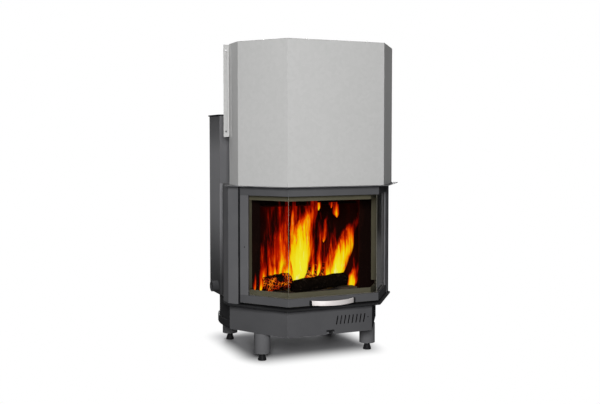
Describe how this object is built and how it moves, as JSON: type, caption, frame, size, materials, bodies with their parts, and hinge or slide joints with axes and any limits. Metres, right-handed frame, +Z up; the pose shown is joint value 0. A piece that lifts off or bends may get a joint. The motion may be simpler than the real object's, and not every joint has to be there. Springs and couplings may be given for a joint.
{
  "type": "boiler fireplace",
  "caption": "Water-jacketed wood fireplace with a three-sided glass door that lifts into a sheet hood, a bow handle, screw feet and pipe sockets",
  "frame": {"origin": "on the floor, under the middle of the overall box", "axes": "+X to the viewer's right, +Y to the back, away from the glass, +Z up"},
  "size_m": [0.903, 0.92, 1.471],
  "materials": {
    "stove_paint": "matt anthracite stove paint",
    "seal_paint": "matt olive grey",
    "galvanised_sheet": "galvanised, dull with a faint spangle",
    "zinc_steel": "bright zinc plated",
    "boiler_steel": "dark mill-scale boiler plate",
    "black_trim": "satin black",
    "handle_satin": "satin nickel",
    "grate_iron": "rough cast",
    "firebrick": "matt fired clay",
    "ceramic_glass": "clear, slightly smoked",
    "rope_seal": "woven rope",
    "bearing_bronze": "machined",
    "mineral_wool": "fibrous"
  },
  "bodies": {
    "boiler": {"ash_drum": "stove_paint", "ash_pan": "boiler_steel", "baffle_bars": "boiler_steel", "base_band": "stove_paint", "base_plate": "stove_paint", "boiler_lid": "black_trim", "boiler_shell": "stove_paint", "casing": "stove_paint", "casing_front": "stove_paint", "ceiling_plate": "stove_paint", "cheek_plates": "stove_paint", "fire_grate": "grate_iron", "firebox_liner": "boiler_steel", "flue_collar": "black_trim", "front_posts": "stove_paint", "guide_rails": "black_trim", "hearth_bricks": "firebrick", "hearth_plate": "stove_paint", "hood_back": "galvanised_sheet", "hood_cover": "galvanised_sheet", "hood_screws": "zinc_steel", "hood_shell": "galvanised_sheet", "insulation": "mineral_wool", "leg_tubes": "stove_paint", "lift_cables": "zinc_steel", "lintel_rim": "stove_paint", "plinth_skirt": "stove_paint", "pulley_brackets": "galvanised_sheet", "seal_head": "seal_paint", "seal_jambs": "seal_paint", "seal_sill": "seal_paint", "shutter_guides": "zinc_steel", "smoke_baffle": "firebrick", "smoke_tubes": "boiler_steel", "tube_plates": "boiler_steel", "upper_front_wall": "boiler_steel", "upper_shell": "boiler_steel", "wall_brackets": "galvanised_sheet", "water_sockets": "stove_paint"},
    "door": {"door_bottom_rail": "stove_paint", "door_top_rail": "stove_paint", "door_stiles": "stove_paint", "glass_front": "ceramic_glass", "glass_sides": "ceramic_glass", "glass_tape": "rope_seal", "glass_retainers": "zinc_steel", "door_gasket": "rope_seal", "handle_bar": "handle_satin", "handle_blocks": "black_trim", "guide_shoes": "bearing_bronze", "cable_lugs": "zinc_steel"},
    "counterweight": {"counterweight": "boiler_steel"},
    "pulley_left": {"pulley_left": "zinc_steel"},
    "pulley_right": {"pulley_right": "zinc_steel"},
    "air_shutter": {"air_shutter": "zinc_steel", "air_lever": "black_trim"},
    "foot_front_left": {"foot_front_left": "black_trim"},
    "foot_front_right": {"foot_front_right": "black_trim"},
    "foot_rear_left": {"foot_rear_left": "black_trim"},
    "foot_rear_right": {"foot_rear_right": "black_trim"}
  },
  "joints": [
    {"name": "door_lift", "type": "slide", "parent": "boiler", "child": "door", "axis": [0, 0, 1], "range_m": [0, 0.48], "deforming": ["lift_cables"]},
    {"name": "weight_drop", "type": "slide", "parent": "boiler", "child": "counterweight", "axis": [0, 0, 1], "range_m": [-0.48, 0]},
    {"name": "pulley_left_turn", "type": "hinge", "parent": "boiler", "child": "pulley_left", "pos_m": [-0.35988, -0.17496, 1.42], "axis": [-1, 0, 0], "range_deg": [0, 860]},
    {"name": "pulley_right_turn", "type": "hinge", "parent": "boiler", "child": "pulley_right", "pos_m": [0.35988, -0.17496, 1.42], "axis": [-1, 0, 0], "range_deg": [0, 860]},
    {"name": "air_shutter_slide", "type": "slide", "parent": "boiler", "child": "air_shutter", "axis": [1, 0, 0], "range_m": [0, 0.01]},
    {"name": "foot_front_left_screw", "type": "hinge", "parent": "boiler", "child": "foot_front_left", "pos_m": [-0.27499, -0.20849, 0.05], "axis": [0, 0, 1], "continuous": true},
    {"name": "foot_front_right_screw", "type": "hinge", "parent": "boiler", "child": "foot_front_right", "pos_m": [0.27499, -0.20849, 0.05], "axis": [0, 0, 1], "continuous": true},
    {"name": "foot_rear_left_screw", "type": "hinge", "parent": "boiler", "child": "foot_rear_left", "pos_m": [-0.27499, 0.25949, 0.05], "axis": [0, 0, 1], "continuous": true},
    {"name": "foot_rear_right_screw", "type": "hinge", "parent": "boiler", "child": "foot_rear_right", "pos_m": [0.27499, 0.25949, 0.05], "axis": [0, 0, 1], "continuous": true}
  ],
  "couplings": [
    {"joint": "weight_drop", "follows": "door_lift", "ratio": -1},
    {"joint": "pulley_left_turn", "follows": "door_lift", "rad_per_m": 31.25},
    {"joint": "pulley_right_turn", "follows": "door_lift", "rad_per_m": 31.25}
  ]
}
